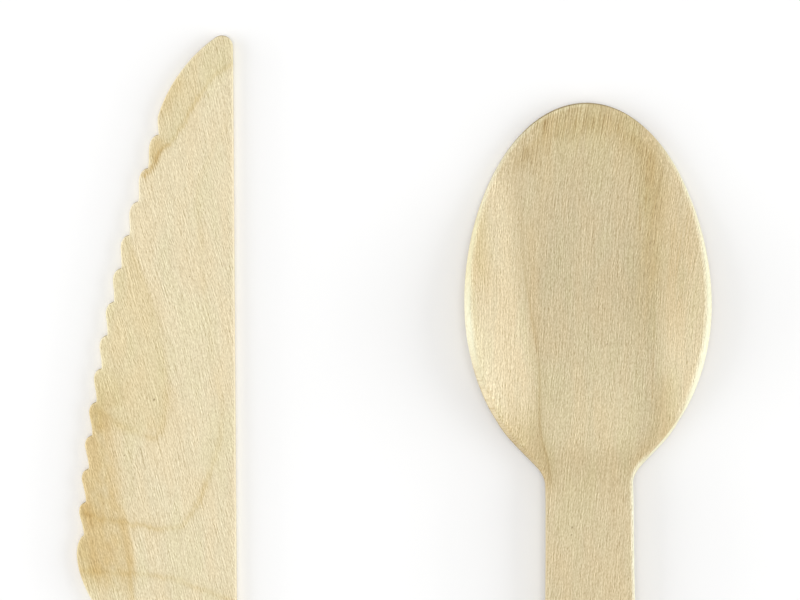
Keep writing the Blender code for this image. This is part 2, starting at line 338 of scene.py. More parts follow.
def build_knife():
    left, right = knife_stations()
    left, right = left * [-1, -1], right * [-1, -1]        # (x, y), spine on x = 0, tip at y = 0
    centre = (left + right) / 2
    lo, hi = -(KNIFE_L - KNIFE_END_R), -3.0
    inside = (centre[:, 1] > lo) & (centre[:, 1] < hi)
    first, last = centre[inside][0], centre[inside][-1]
    centre[centre[:, 1] >= hi] = first
    centre[centre[:, 1] <= lo] = last

    def shape(x, y, offset, weight):
        z = offset + SHEET_T / 2
        dip = relief(x, y, 3.7) * weight
        z = np.where(offset > 0.5, z - dip, np.where(offset < -0.5, z + dip, z))
        return np.stack([x, y, z], 1), np.stack([x, y, offset + SHEET_T / 2], 1)

    top = [1.0, 0.985, 0.965] + [float(q) for q in np.linspace(0.94, 0.0, 29)]
    under = [1.0, 0.97, 0.9, 0.75, 0.55, 0.35, 0.17, 0.0]
    return loft("birch_knife", "knife", left, right, centre, shape, top, under,
                (SET_PLACE[0], SET_PLACE[1] + TIP_STEP), lambda loop: worn(loop, 1.7, 0.030, 2.0), knife_fields)


# Growth rings of the knife, each from its first to its last point as (from the
# spine, from the tip).
RING_FIRST = ((-1.0, 3.2), (0.2, 4.1), (1.8, 5.2), (3.65, 7.0), (5.95, 10.7), (7.6, 13.2), (8.7, 14.6), (10.3, 16.1),
              (11.0, 17.9), (12.4, 18.9))
RING_OUTER = ((-0.5, 9.0), (2.4, 15.0), (5.0, 21.0), (4.5, 28.7), (3.8, 37.1), (2.9, 45.4), (1.8, 51.0), (2.3, 56.0),
              (4.4, 62.3), (6.5, 66.1), (8.7, 67.5), (12.8, 67.1), (17.0, 66.4), (20.9, 65.4))
RING_INNER = ((14.6, 22.5), (14.3, 28.0), (11.9, 34.3), (10.1, 39.8), (9.5, 44.1), (9.35, 50.4), (10.2, 54.2),
              (12.0, 54.9), (14.9, 53.9), (17.2, 52.1), (19.0, 51.0))
RING_LAST = ((21.0, 73.2), (12.2, 73.8), (8.3, 74.6), (4.2, 76.2), (-1.0, 78.5))
RING_LOW = ((-1.0, 97.0), (4.0, 93.5), (8.0, 93.0), (12.0, 96.0), (15.0, 103.0), (18.0, 118.0))
RING_LOWER = ((-1.0, 131.0), (3.0, 121.0), (6.5, 116.0), (9.0, 117.5), (11.0, 126.0), (12.0, 140.0), (13.0, 170.0))


def knife_fields(x, y):
    w, d = -x, -y
    upper = [off_course(w, d, c) for c in (RING_FIRST, RING_OUTER, RING_INNER)]
    lower = [off_course(w, d, c) for c in (RING_LAST, RING_LOW, RING_LOWER)]
    return {"rings_upper": np.stack(upper, 1), "rings_lower": np.stack(lower, 1)}


# ------------------------------------------------------------------ spoon

def spoon_handle_half(v):
    t = np.clip((v - FLARE_START) / (SPOON_L - SPOON_END_R - FLARE_START), 0.0, 1.0)
    return NECK_W / 2 + (SPOON_END_W - NECK_W) / 2 * t ** 1.6


def spoon_half(v):
    u = (v - BOWL_WIDEST) / BOWL_B_LOW
    side = np.sqrt(1 - np.clip(u, 0.0, NECK_STEEP) ** 2)
    bowl = BOWL_A * (side - np.maximum(0.0, u - NECK_STEEP) * NECK_STEEP / side)
    stem = spoon_handle_half(v)
    k = np.maximum(0.0, 1.0 - np.abs(bowl - stem) / NECK_BLEND)
    lower = np.maximum(bowl, stem) + k * k * NECK_BLEND / 4
    upper = BOWL_A * np.sqrt(np.maximum(0.0, 1 - ((BOWL_WIDEST - v) / BOWL_WIDEST) ** 2))
    end = SPOON_L - SPOON_END_R
    cap = SPOON_END_W / 2 * np.sqrt(np.maximum(0.0, 1 - ((v - end) / SPOON_END_R) ** 2))
    return np.where(v <= BOWL_WIDEST, upper, np.where(v >= end, cap, lower))


def soft(r, width):
    return 0.5 * (r + np.sqrt(r * r + width * width))


def crease(x, v):
    below = np.maximum(0.0, v - PINCH_SPAN[1])
    pinch = smoothstep((v - PINCH_SPAN[0]) / (PINCH_SPAN[1] - PINCH_SPAN[0]))
    return np.maximum(2.0, np.where(x < 0, CREASE_LEFT - CREASE_PINCH * pinch - CLOSE_LEFT * below,
                                    CREASE_RIGHT - CLOSE_RIGHT * below))


def rise(r):
    s = soft(r, CREASE_SOFT)
    return FLANK_SLOPE * s + FLANK_CURL * s * s / 2


def spoon_height(x, v):
    fold = crease(x, v)
    full = smoothstep((v - FLANK_IN[0]) / (FLANK_IN[1] - FLANK_IN[0]))
    full = full * (1.0 - smoothstep((v - FLANK_OUT[0]) / (FLANK_OUT[1] - FLANK_OUT[0])))
    flank = full * (rise(np.abs(x) - fold) - rise(-fold))
    tip = TIP_SLOPE * (soft(TIP_FOLD - v, 1.5) - soft(TIP_FOLD - 40.0, 1.5))
    climb = smoothstep((v - NECK_RISE[0]) / (NECK_RISE[1] - NECK_RISE[0]))
    stem = NECK_H * (SPOON_L - v) / (SPOON_L - NECK_RISE[1])
    return flank + np.maximum(0.0, tip) + climb * stem


def build_spoon():
    v = [BOWL_WIDEST * (1 - np.cos(np.linspace(0, math.pi / 2, 110)))]
    v.append(BOWL_WIDEST + BOWL_B_LOW * 0.93 * np.sin(np.linspace(0, math.pi / 2 * 0.93, 100))[1:])
    v.append(np.linspace(v[-1][-1], FLARE_START + 4.0, 30)[1:])
    end = SPOON_L - SPOON_END_R
    v.append(np.linspace(FLARE_START + 4.0, end, 100)[1:])
    v.append(end + SPOON_END_R * np.sin(np.linspace(0, math.pi / 2, 34))[1:])
    v = np.concatenate(v)
    h = spoon_half(v)
    h[0] = h[-1] = 0.0
    left, right = np.stack([-h, -v], 1), np.stack([h, -v], 1)
    centre = np.stack([np.zeros(len(v)), -np.clip(v, 10.0, end)], 1)

    def shape(x, y, offset, weight):
        v = -y
        e = 0.02
        z = spoon_height(x, v)
        dx = (spoon_height(x + e, v) - spoon_height(x - e, v)) / (2 * e)
        dv = (spoon_height(x, v + e) - spoon_height(x, v - e)) / (2 * e)
        normal = np.stack([-dx, dv, np.ones(len(x))], 1)
        normal /= np.linalg.norm(normal, axis=1)[:, None]
        dip = relief(x, y, 8.3) * weight
        depth = np.where(offset > 0.5, offset - dip, np.where(offset < -0.5, offset + dip, offset))
        # the sheet's own coordinates: across follows the folded flank
        across = x * (1.0 + 0.5 * np.minimum(0.4, dx * dx))
        return (np.stack([x, y, z + SHEET_T / 2], 1) + normal * depth[:, None],
                np.stack([across, y, offset + SHEET_T / 2], 1))

    top = [1.0, 0.985, 0.965] + [float(q) for q in np.linspace(0.945, 0.0, 46)]
    under = [1.0, 0.97] + [float(q) for q in np.linspace(0.92, 0.0, 18)]
    return loft("birch_spoon", "spoon", left, right, centre, shape, top, under,
                (SET_PLACE[0] + GAP_SPINE_TO_SPOON_AXIS, SET_PLACE[1]), lambda loop: worn(loop, 1.3, 0.020, 6.0),
                spoon_fields)


# The bruised fold of the spoon's tip, as (across, from the tip).
TIP_ARCH = ((-9.6, 15.0), (-9.2, 10.5), (-8.3, 6.8), (-6.6, 4.6), (-4.2, 3.5), (0.6, 3.2), (3.6, 3.6), (5.6, 4.5),
            (8.0, 7.0), (9.0, 10.5), (9.1, 15.0))


def spoon_fields(x, y):
    return {"fold": np.stack([off_course(x, -y, TIP_ARCH), np.zeros(len(x)), np.zeros(len(x))], 1)}


# ================================================================== material

class Nodes:
    """Short names for building a shader's maths."""

    def __init__(self, tree):
        self.tree = tree

    def new(self, kind, **values):
        node = self.tree.nodes.new(kind)
        for k, v in values.items():
            setattr(node, k, v)
        return node

    def link(self, value, socket):
        if isinstance(value, bpy.types.NodeSocket):
            self.tree.links.new(value, socket)
        else:
            socket.default_value = value

    def math(self, op, a, b=0.0, c=0.0, clamp=False):
        node = self.new("ShaderNodeMath", operation=op, use_clamp=clamp)
        for i, value in enumerate((a, b, c)):
            self.link(value, node.inputs[i])
        return node.outputs[0]

    def add(self, *values):
        out = values[0]
        for v in values[1:]:
            out = self.math("ADD", out, v)
        return out

    def mul(self, *values):
        out = values[0]
        for v in values[1:]:
            out = self.math("MULTIPLY", out, v)
        return out

    def xyz(self, x, y, z):
        node = self.new("ShaderNodeCombineXYZ")
        for i, value in enumerate((x, y, z)):
            self.link(value, node.inputs[i])
        return node.outputs[0]

    def split(self, v):
        node = self.new("ShaderNodeSeparateXYZ")
        self.link(v, node.inputs[0])
        return node.outputs[0], node.outputs[1], node.outputs[2]

    def field(self, name):
        return self.new("ShaderNodeAttribute", attribute_type="GEOMETRY", attribute_name=name).outputs["Vector"]

    def noise(self, vector, scale=1.0, detail=2.0, rough=0.5, distort=0.0):
        node = self.new("ShaderNodeTexNoise", noise_dimensions="3D")
        self.link(vector, node.inputs["Vector"])
        node.inputs["Scale"].default_value = scale
        node.inputs["Detail"].default_value = detail
        node.inputs["Roughness"].default_value = rough
        node.inputs["Distortion"].default_value = distort
        return node.outputs["Fac"]

    def window(self, value, lo, hi, lo2=None, hi2=None):
        """0 below lo, 1 from hi on; with lo2, hi2 it falls again between them."""
        node = self.new("ShaderNodeMapRange", interpolation_type="SMOOTHSTEP", clamp=True)
        self.link(value, node.inputs[0])
        self.link(lo, node.inputs[1])
        self.link(hi, node.inputs[2])
        node.inputs[3].default_value = 0.0
        node.inputs[4].default_value = 1.0
        if lo2 is None:
            return node.outputs[0]
        down = self.new("ShaderNodeMapRange", interpolation_type="SMOOTHSTEP", clamp=True)
        self.link(value, down.inputs[0])
        down.inputs[1].default_value = lo2
        down.inputs[2].default_value = hi2
        down.inputs[3].default_value = 1.0
        down.inputs[4].default_value = 0.0
        return self.mul(node.outputs[0], down.outputs[0])

    def near_path(self, x, y, points):
        """Distance from (x, y) to a chain of straight steps."""
        p = self.xyz(x, y, 0.0)
        best = None
        for (ax, ay), (bx, by) in zip(points, points[1:]):
            length2 = (bx - ax) ** 2 + (by - ay) ** 2
            rel = self.new("ShaderNodeVectorMath", operation="SUBTRACT")
            self.link(p, rel.inputs[0])
            rel.inputs[1].default_value = (ax, ay, 0.0)
            dot = self.new("ShaderNodeVectorMath", operation="DOT_PRODUCT")
            self.link(rel.outputs[0], dot.inputs[0])
            dot.inputs[1].default_value = ((bx - ax) / length2, (by - ay) / length2, 0.0)
            t = self.math("ADD", dot.outputs["Value"], 0.0, clamp=True)
            step = self.new("ShaderNodeVectorMath", operation="SCALE")
            step.inputs[0].default_value = (bx - ax, by - ay, 0.0)
            self.link(t, step.inputs["Scale"])
            gap = self.new("ShaderNodeVectorMath", operation="DISTANCE")
            self.link(rel.outputs[0], gap.inputs[0])
            self.link(step.outputs[0], gap.inputs[1])
            d = gap.outputs["Value"]
            best = d if best is None else self.math("MINIMUM", best, d)
        return best

    def line(self, distance, width):
        """1 on the line, fading to 0 at about twice the width."""
        q = self.math("DIVIDE", distance, width)
        return self.math("EXPONENT", self.mul(self.mul(q, q), -1.0))

    def curve(self, value, lo, hi, points, low, high):
        """A smooth function through points, over value from lo to hi."""
        node = self.new("ShaderNodeFloatCurve")
        curve = node.mapping.curves[0]
        pts = [((x - lo) / (hi - lo), (y - low) / (high - low)) for x, y in points]
        curve.points[0].location = pts[0]
        curve.points[1].location = pts[-1]
        for p in pts[1:-1]:
            curve.points.new(*p)
        node.mapping.update()
        t = self.math("DIVIDE", self.math("SUBTRACT", value, lo), hi - lo, clamp=True)
        self.link(t, node.inputs["Value"])
        return self.add(self.mul(node.outputs[0], high - low), low)

    def tint(self, colour, ratio, amount):
        """colour times ratio, by amount from 0 to 1."""
        node = self.new("ShaderNodeMix", data_type="RGBA", blend_type="MULTIPLY")
        self.link(amount, node.inputs["Factor"])
        self.link(colour, node.inputs[6])
        node.inputs[7].default_value = (*ratio, 1.0)
        return node.outputs[2]

    def scale_colour(self, colour, factor):
        node = self.new("ShaderNodeVectorMath", operation="SCALE")
        self.link(colour, node.inputs[0])
        self.link(factor, node.inputs["Scale"])
        return node.outputs[0]


def birch(name, base, lean, figure, bold, edge_highlight, strip):
    """Bare birch veneer, with painted highlights on its cut edges.  lean is how far fibres run across for each step
    along, edge_highlight how much paler the painted highlight makes the cut along the fibres, strip the painted
    highlight on the face beside it."""
    mat = bpy.data.materials.new(name)
    mat.use_nodes = True
    tree = mat.node_tree
    shader = tree.nodes["Principled BSDF"]
    n = Nodes(tree)
    a, l, h = n.split(n.field("sheet"))
    inset = n.split(n.field("edge"))[0]
    cut = n.window(h, 0.005, 0.10, SHEET_T - 0.09, SHEET_T - 0.004)
    # fibres wander a little
    sway = n.noise(n.xyz(n.mul(a, 0.05), n.mul(l, 0.035), n.mul(h, 0.05)), 1.0, 0.0, 0.4)
    across = n.add(a, n.mul(l, -lean), n.mul(n.math("SUBTRACT", sway, 0.5), 2.4))

    def grain(fa, fl, fh, detail, rough, shift=0.0):
        return n.math("SUBTRACT", n.noise(n.xyz(n.add(n.mul(across, fa), shift), n.mul(l, fl), n.mul(h, fh)),
                                          1.0, detail, rough), 0.5)

    def ridge(fa, fl, fh, shift=0.0):
        """One fibre against the next, so that no broad blotches are left."""
        return n.math("SUBTRACT", grain(fa, fl, fh, 0.0, 0.5, shift), grain(fa, fl, fh, 0.0, 0.5, shift + 0.55))

    hair = ridge(6.0, 0.28, 5.0)                           # long fibres
    nap = ridge(6.4, 2.1, 5.0, 71.0)                       # their torn ends
    grit = grain(6.0, 3.6, 5.0, 0.0, 0.5, 93.0)
    fibre = grain(2.2, 0.14, 2.0, 1.0, 0.5, 11.0)          # bundles
    band = grain(0.7, 0.035, 0.6, 1.0, 0.5, 23.0)          # seasons
    pore = n.window(grain(5.8, 0.80, 4.0, 0.0, 0.5, 37.0), 0.17, 0.33)
    cloud = n.math("SUBTRACT", n.noise(n.xyz(n.mul(a, 0.30), n.mul(l, 0.16), n.mul(h, 0.3)), 1.0, 1.0, 0.5), 0.5)
    blush = n.math("SUBTRACT", n.noise(n.xyz(n.add(n.mul(a, 0.36), 5.0), n.mul(l, 0.10), n.mul(h, 0.4)),
                                       1.0, 1.0, 0.55), 0.5)

    # gaps between fibres are browner, not greyer
    # and lie flatter in some patches than in others
    lie = n.add(1.0, n.mul(grain(0.9, 0.28, 1.0, 1.0, 0.5, 53.0), 1.7))
    weave = n.add(n.mul(hair, 0.44 * bold, lie), n.mul(nap, 0.50 * bold, lie), n.mul(grit, 0.40 * bold),
                  n.mul(fibre, 0.07 * bold), n.mul(pore, -0.16 * bold))
    weave = n.mul(weave, n.add(1.0, n.mul(cut, -0.65)))
    mottle = grain(1.3, 0.7, 1.0, 0.0, 0.5, 31.0)
    even = n.add(1.0, n.mul(band, 0.06), n.mul(cloud, 0.05), n.mul(mottle, 0.05))
    colour = n.xyz(*(n.mul(n.add(even, n.mul(weave, share)), part) for share, part in zip((0.86, 1.0, 1.27), base)))
    # some patches redder, some greener
    colour = n.tint(colour, (1.012, 0.988, 0.965), n.window(blush, -0.05, 0.16))
    colour = n.tint(colour, (0.985, 1.0, 0.975), n.window(blush, 0.02, -0.18))
    colour, edge_light_share = figure(n, colour, a, l, h, hair, fibre, cloud, blush, mottle, ridge(6.2, 0.16, 3.0, 17.0))
    # the cut: a painted highlight where it runs along the fibres; darker across them, partly end grain and partly
    # painted shade where it faces away from the lamps
    geometry = n.new("ShaderNodeNewGeometry")
    nx, ny, nz = n.split(geometry.outputs["Normal"])
    upper_cut = n.mul(n.window(nz, -0.05, 0.30), cut)
    crossing = n.add(n.window(ny, 0.52, 0.76), n.mul(n.window(ny, -0.60, -0.95), 0.6))
    colour = n.tint(colour, (0.52, 0.45, 0.33), n.mul(crossing, cut, n.add(0.8, n.mul(nap, 0.9))))
    colour = n.tint(colour, edge_highlight, n.mul(n.math("SUBTRACT", 1.0, crossing), upper_cut, edge_light_share))
    # painted highlight on the eased arc of the face beside the cut
    colour = n.tint(colour, strip, n.mul(n.window(inset, 0.30, 0.02), n.window(nz, 0.2, 0.7),
                                         n.math("SUBTRACT", 1.0, cut), edge_light_share))
    n.link(colour, shader.inputs["Base Color"])
    n.link(n.add(0.60, n.mul(hair, 0.20), n.mul(cloud, 0.15)), shader.inputs["Roughness"])
    shader.inputs["Specular IOR Level"].default_value = 0.28
    shader.inputs["IOR"].default_value = 1.45
    bump = n.new("ShaderNodeBump")
    bump.inputs["Strength"].default_value = 0.35
    bump.inputs["Distance"].default_value = 0.000025
    n.link(n.add(hair, n.mul(nap, 0.8)), bump.inputs["Height"])
    n.link(bump.outputs[0], shader.inputs["Normal"])
    return mat


def knife_figure(n, colour, a, l, h, hair, fibre, cloud, blush, mottle, tear):
    """Cathedral rings and a streak of brown heartwood along the toothed side."""
    # rings fray fibre by fibre and drift with the clouds
    drift = n.add(n.mul(hair, 0.45), n.mul(fibre, 0.9), n.mul(cloud, 1.0))
    w = n.mul(a, -1.0)
    d = n.mul(l, -1.0)
    first, outer, inner = n.split(n.field("rings_upper"))
    last, low, lower = n.split(n.field("rings_lower"))
    waver = n.add(0.80, n.mul(blush, 1.5))
    # the outer one shows best where it turns, the inner one at its foot
    outer_shows = n.add(0.20, n.mul(n.window(d, 46.0, 58.0), 0.56), n.mul(n.window(d, 16.0, 20.0, 27.0, 32.0), 0.16))
    inner_shows = n.add(0.22, n.mul(n.window(d, 36.0, 50.0), 0.36))
    for ring, width, depth in ((first, 0.34, 0.80), (outer, 0.40, outer_shows), (inner, 0.50, inner_shows),
                               (last, 0.40, 0.66), (low, 0.60, 0.50), (lower, 0.70, 0.45)):
        gap = n.add(ring, drift)
        amount = n.mul(n.add(n.line(gap, width), n.mul(n.line(gap, width * 3.6), 0.22)), depth)
        colour = n.tint(colour, (0.885, 0.835, 0.70), n.mul(amount, waver))
    colour = n.tint(colour, (0.972, 0.968, 0.955), n.window(d, 7.0, 3.0))
    # the nose beyond the first ring is a shade deeper
    nose = n.mul(n.window(n.add(first, n.mul(drift, 0.6)), 0.35, -0.35), n.window(d, 19.0, 16.0))
    colour = n.tint(colour, (0.948, 0.938, 0.868), n.mul(nose, n.add(0.75, n.mul(n.window(w, 4.0, 9.5), 0.6))))
    wd, dd = n.add(w, n.mul(drift, 0.35)), n.add(d, n.mul(drift, 0.9))
    # where the first ring meets the teeth it turns brown
    for points, width, depth in ((((10.2, 14.7), (11.0, 16.2)), 0.85, 0.60), (((7.9, 6.6), (9.4, 9.4)), 1.2, 0.45)):
        colour = n.tint(colour, (0.89, 0.80, 0.62), n.mul(n.line(n.near_path(wd, dd, points), width), depth))
    stain = n.near_path(n.add(wd, n.mul(mottle, 0.9)), n.add(dd, n.mul(hair, 0.8)),
                        ((8.9, 14.8), (10.3, 16.1), (11.0, 17.7), (12.3, 18.8)))
    colour = n.tint(colour, (0.84, 0.76, 0.62), n.mul(n.line(stain, 0.30), n.add(0.8, n.mul(mottle, 1.5))))
    # wood inside the inner ring is a shade deeper
    edge = n.curve(d, 20.0, 60.0, ((20.0, 15.5), (28.0, 14.0), (34.3, 11.8), (40.0, 10.1), (50.0, 9.3), (54.4, 10.2),
                                   (56.0, 16.0), (60.0, 22.0)), 0.0, 24.0)
    inside = n.mul(n.window(n.math("SUBTRACT", w, edge), -0.3, 0.8), n.window(d, 22.0, 27.0, 53.2, 55.0))
    colour = n.tint(colour, (0.960, 0.94, 0.865), inside)
    # heartwood
    border = n.curve(d, 48.0, 110.0, ((48.0, 21.0), (50.5, 19.2), (52.0, 18.1), (56.0, 16.4), (62.3, 15.7), (67.9, 14.9),
                                      (72.0, 14.2), (77.0, 14.0), (90.0, 13.4), (110.0, 13.9)), 12.0, 24.0)
    depth_in = n.math("SUBTRACT", n.add(w, n.mul(fibre, 0.8)), border)
    heart = n.mul(n.window(depth_in, -1.0, n.add(2.0, n.mul(n.window(d, 60.0, 67.0), -1.2))),
                  n.window(dd, 49.3, 51.2, 73.8, 79.5))
    around = n.mul(n.window(depth_in, -4.2, -0.6, 0.0, 1.5), n.window(d, 44.0, 50.0, 62.0, 67.0))
    colour = n.tint(colour, (0.965, 0.945, 0.905), around)
    above = n.mul(n.window(w, 13.5, 17.0), n.window(dd, 44.5, 49.0, 50.0, 51.4))
    colour = n.tint(colour, (0.945, 0.91, 0.83), above)
    colour = n.tint(colour, (0.868, 0.782, 0.60), n.mul(heart, n.add(0.68, n.mul(n.window(w, 16.5, 20.5), 0.28),
                                                                     n.mul(blush, 1.4), n.mul(mottle, 0.5))))
    rim = n.mul(n.line(n.math("SUBTRACT", depth_in, 0.35), 0.55), n.window(d, 62.0, 70.0))
    colour = n.tint(colour, (0.925, 0.865, 0.73), n.mul(rim, 0.85))
    for points, width, depth in ((((18.6, 51.4), (18.3, 53.2)), 0.95, 0.60),
                                 (((20.6, 64.6), (20.0, 66.6)), 1.0, 0.55),
                                 (((20.4, 69.4), (19.4, 73.4)), 1.3, 0.50),
                                 (((17.2, 69.6), (16.6, 71.4)), 1.1, 0.30)):
        colour = n.tint(colour, (0.90, 0.80, 0.60), n.mul(n.line(n.near_path(wd, dd, points), width), depth))
    # a few specks of bark dirt and one scratch
    for (x, y), size in (((11.07, 49.8), 0.13), ((15.2, 57.4), 0.07), ((6.1, 33.0), 0.07)):
        spot = n.near_path(w, d, ((x, y), (x + 0.05, y + 0.06)))
        colour = n.tint(colour, (0.45, 0.40, 0.34), n.line(spot, size))
    scratch = n.near_path(w, d, ((13.0, 56.4), (12.35, 59.4)))
    colour = n.tint(colour, (0.72, 0.68, 0.60), n.mul(n.line(scratch, 0.09), 0.8))
    # the painted highlight on the cut is weaker along the straight back than along the teeth
    return colour, n.add(0.50, n.mul(n.window(w, 0.8, 2.5), 0.50))


def spoon_figure(n, colour, a, l, h, hair, fibre, cloud, blush, mottle, tear):
    """A brown band, two creases with painted shade, a folded tip, painted shade across the pinch at the neck, and
    painted light on the flanks and rims.
    """
    v = n.mul(l, -1.0)
    drift = n.add(n.mul(hair, 0.7), n.mul(fibre, 1.2), n.mul(cloud, 0.9))
    # the left crease, faint above and sharp at the neck
    crease_at = n.curve(v, 0.0, 60.0, ((0.0, -7.0), (5.0, -8.6), (20.0, -9.0), (28.0, -8.0), (35.0, -6.9), (45.0, -6.9),
                                       (50.0, -5.6), (60.0, -5.0)), -12.0, 0.0)
    off = n.math("SUBTRACT", a, crease_at)
    right_at = n.curve(v, 0.0, 60.0, ((0.0, 8.0), (9.0, 9.8), (20.0, 10.1), (40.0, 9.9), (45.4, 9.1), (50.6, 6.2),
                                      (60.0, 5.0)), 0.0, 12.0)
    past = n.math("SUBTRACT", a, right_at)
    # painted light and sheen on the pressed flanks, which face the side lamps, more so towards the neck
    low = n.add(0.85, n.mul(n.window(v, 22.0, 40.0), 0.30))
    left_flank_light = n.mul(n.window(n.mul(off, -1.0), -1.0, 3.8), n.window(v, 7.0, 13.0, 40.0, 50.0))
    colour = n.tint(colour, (1.175, 1.190, 1.245), n.mul(left_flank_light, low))
    right_flank_light = n.mul(n.window(past, -0.3, 2.0), n.window(v, 7.0, 13.0, 46.0, 49.0))
    colour = n.tint(colour, (1.115, 1.115, 1.135), n.mul(right_flank_light, low))
    # more painted light on the lower flanks beside the rims
    lower_flank_light = n.mul(n.window(n.math("ABSOLUTE", a), 10.0, 14.5), n.window(v, 27.0, 37.0, 40.0, 46.0))
    colour = n.tint(colour, (1.055, 1.075, 1.10), lower_flank_light)
    column = n.mul(n.line(n.add(a, 12.0), 1.5), n.window(v, 8.0, 14.0, 22.0, 32.0))
    colour = n.tint(colour, (1.04, 1.05, 1.06), column)
    # brown band inside the right crease, strongest towards the tip
    band_at = n.curve(v, 0.0, 60.0, ((0.0, 6.5), (4.0, 7.6), (9.0, 8.8), (20.0, 9.0), (28.0, 8.4), (34.0, 8.1),
                                     (50.0, 6.2), (60.0, 4.5)), 0.0, 12.0)
    band = n.mul(n.line(n.math("SUBTRACT", n.add(a, n.mul(drift, 0.6)), band_at), 2.0), n.window(v, 1.0, 7.0, 20.0, 38.0))
    colour = n.tint(colour, (0.91, 0.86, 0.73), n.mul(band, n.add(0.95, n.mul(fibre, 0.8))))
    # painted shade along the left crease, weak above and stronger towards the neck
    shade = n.mul(n.line(off, 0.85), n.window(v, 3.0, 9.0, 51.0, 55.0))
    colour = n.tint(colour, (0.92, 0.885, 0.81), n.mul(shade, n.add(0.10, n.mul(n.window(v, 34.0, 48.0), 0.60))))
    # browner between it and the neck's left shoulder
    shoulder = n.mul(n.window(off, 0.3, -0.8), n.window(v, 38.0, 46.0, 52.0, 54.0))
    colour = n.tint(colour, (0.945, 0.910, 0.845), shoulder)
    # a thin line of painted shade in the crease, faint above and sharp at the neck
    faint = n.mul(n.window(v, 9.0, 15.0, 28.0, 40.0), n.add(0.32, n.mul(fibre, 0.9)))
    crease_shade_line = n.mul(n.line(n.add(off, n.mul(hair, 0.3)), 0.22), n.add(n.mul(n.window(v, 28.0, 44.0, 50.5, 53.0), 0.8), faint))
    colour = n.tint(colour, (0.82, 0.76, 0.65), crease_shade_line)
    # the crease itself is paler than the band above; near the neck it has painted shade
    colour = n.tint(colour, (1.035, 1.04, 1.05), n.mul(n.line(past, 0.9), n.window(v, 12.0, 20.0, 34.0, 40.0)))
    right = n.mul(n.line(past, 1.1), n.window(v, 38.0, 44.0, 49.0, 54.0))
    colour = n.tint(colour, (0.94, 0.90, 0.81), n.mul(right, 0.5))
    patch = n.mul(n.line(n.add(a, n.mul(drift, 0.6), -11.4), 2.0), n.window(v, 35.5, 40.0, 45.0, 49.0))
    colour = n.tint(colour, (0.925, 0.895, 0.82), patch)
    # the middle a shade deeper above and paler below
    middle = n.window(n.math("ABSOLUTE", a), 8.0, 5.5)
    colour = n.tint(colour, (0.966, 0.966, 0.970), n.mul(middle, n.window(v, 4.5, 8.0, 22.0, 32.0)))
    colour = n.tint(colour, (1.030, 1.030, 1.030), n.mul(middle, n.window(v, 38.0, 43.0, 46.0, 50.0)))
    colour = n.tint(colour, (0.97, 0.965, 0.95), n.mul(n.line(n.add(a, -6.0), 1.6), n.window(v, 12.0, 17.0, 26.0, 34.0)))
    # long dark streaks on the right flank
    thread = n.window(n.add(n.mul(fibre, 0.7), n.mul(tear, 0.8)), -0.06, 0.24)
    flank = n.mul(n.line(n.add(a, -13.2), 2.3), n.window(v, 13.0, 19.0, 24.0, 34.0))
    colour = n.tint(colour, (0.975, 0.96, 0.93), flank)
    colour = n.tint(colour, (0.89, 0.84, 0.74), n.mul(flank, thread))
    # hairline cracks beside the right crease and in the left one
    for points, size in ((((9.25, 27.0), (9.15, 33.0), (8.95, 38.5), (8.8, 42.0)), 0.10),
                         (((-8.1, 27.5), (-7.7, 31.0), (-7.2, 34.0)), 0.10)):
        crack = n.near_path(n.add(a, n.mul(hair, 0.25)), v, points)
        colour = n.tint(colour, (0.83, 0.77, 0.66), n.mul(n.line(crack, size), n.window(tear, -0.20, 0.15), 0.85))
    # reddish strip inside the left crease
    blushing = n.mul(n.line(n.add(a, 7.6), 1.0), n.window(v, 12.0, 20.0, 30.0, 40.0))
    colour = n.tint(colour, (0.995, 0.965, 0.925), blushing)
    # outermost left of the bowl browner near the tip
    outer_left = n.mul(n.window(a, -13.2, -15.8), n.window(v, 8.0, 14.0, 22.0, 28.0))
    colour = n.tint(colour, (0.98, 0.92, 0.81), n.mul(outer_left, 0.8))
    # the fold of the tip: an arch of bruised fibres, and dark streaks above it
    fold = n.split(n.field("fold"))[0]
    inset = n.split(n.field("edge"))[0]
    streak = n.add(n.mul(tear, 1.0), n.mul(fibre, 0.6))
    # less of both beside the edge of its shoulders, and on the right
    beside = n.mul(n.window(inset, 2.2, 0.7), n.window(v, 2.0, 5.0))
    calm = n.mul(n.add(1.0, n.mul(beside, -0.80)), n.add(1.0, n.mul(n.window(a, 5.5, 8.5), -0.40)))
    leg = n.mul(n.window(a, -2.0, -6.0), n.window(v, 5.8, 9.0))
    bruise = n.mul(n.line(n.add(fold, n.mul(drift, 0.8), 0.3), 1.35), n.math("SUBTRACT", 1.0, leg), calm)
    colour = n.tint(colour, (0.955, 0.920, 0.845), n.mul(bruise, n.window(streak, -0.45, 0.15)))
    short = n.add(n.window(v, 18.0, 9.0), n.mul(n.window(a, -6.0, -8.5), n.window(v, 7.0, 11.0), -1.0))
    lip = n.mul(n.window(n.add(fold, n.mul(fibre, 7.0)), 4.8, -0.8), n.window(short, 0.0, 1.0), calm)
    colour = n.tint(colour, (0.985, 0.970, 0.925), lip)
    colour = n.tint(colour, (1.008, 1.0, 0.965), n.mul(middle, n.window(v, 14.0, 8.0)))
    ragged = n.add(0.9, n.mul(mottle, 2.6))
    colour = n.tint(colour, (0.70, 0.64, 0.53), n.mul(lip, n.window(streak, 0.03, 0.20), ragged))
    colour = n.tint(colour, (1.05, 1.055, 1.07), n.mul(lip, n.window(streak, -0.10, -0.30)))
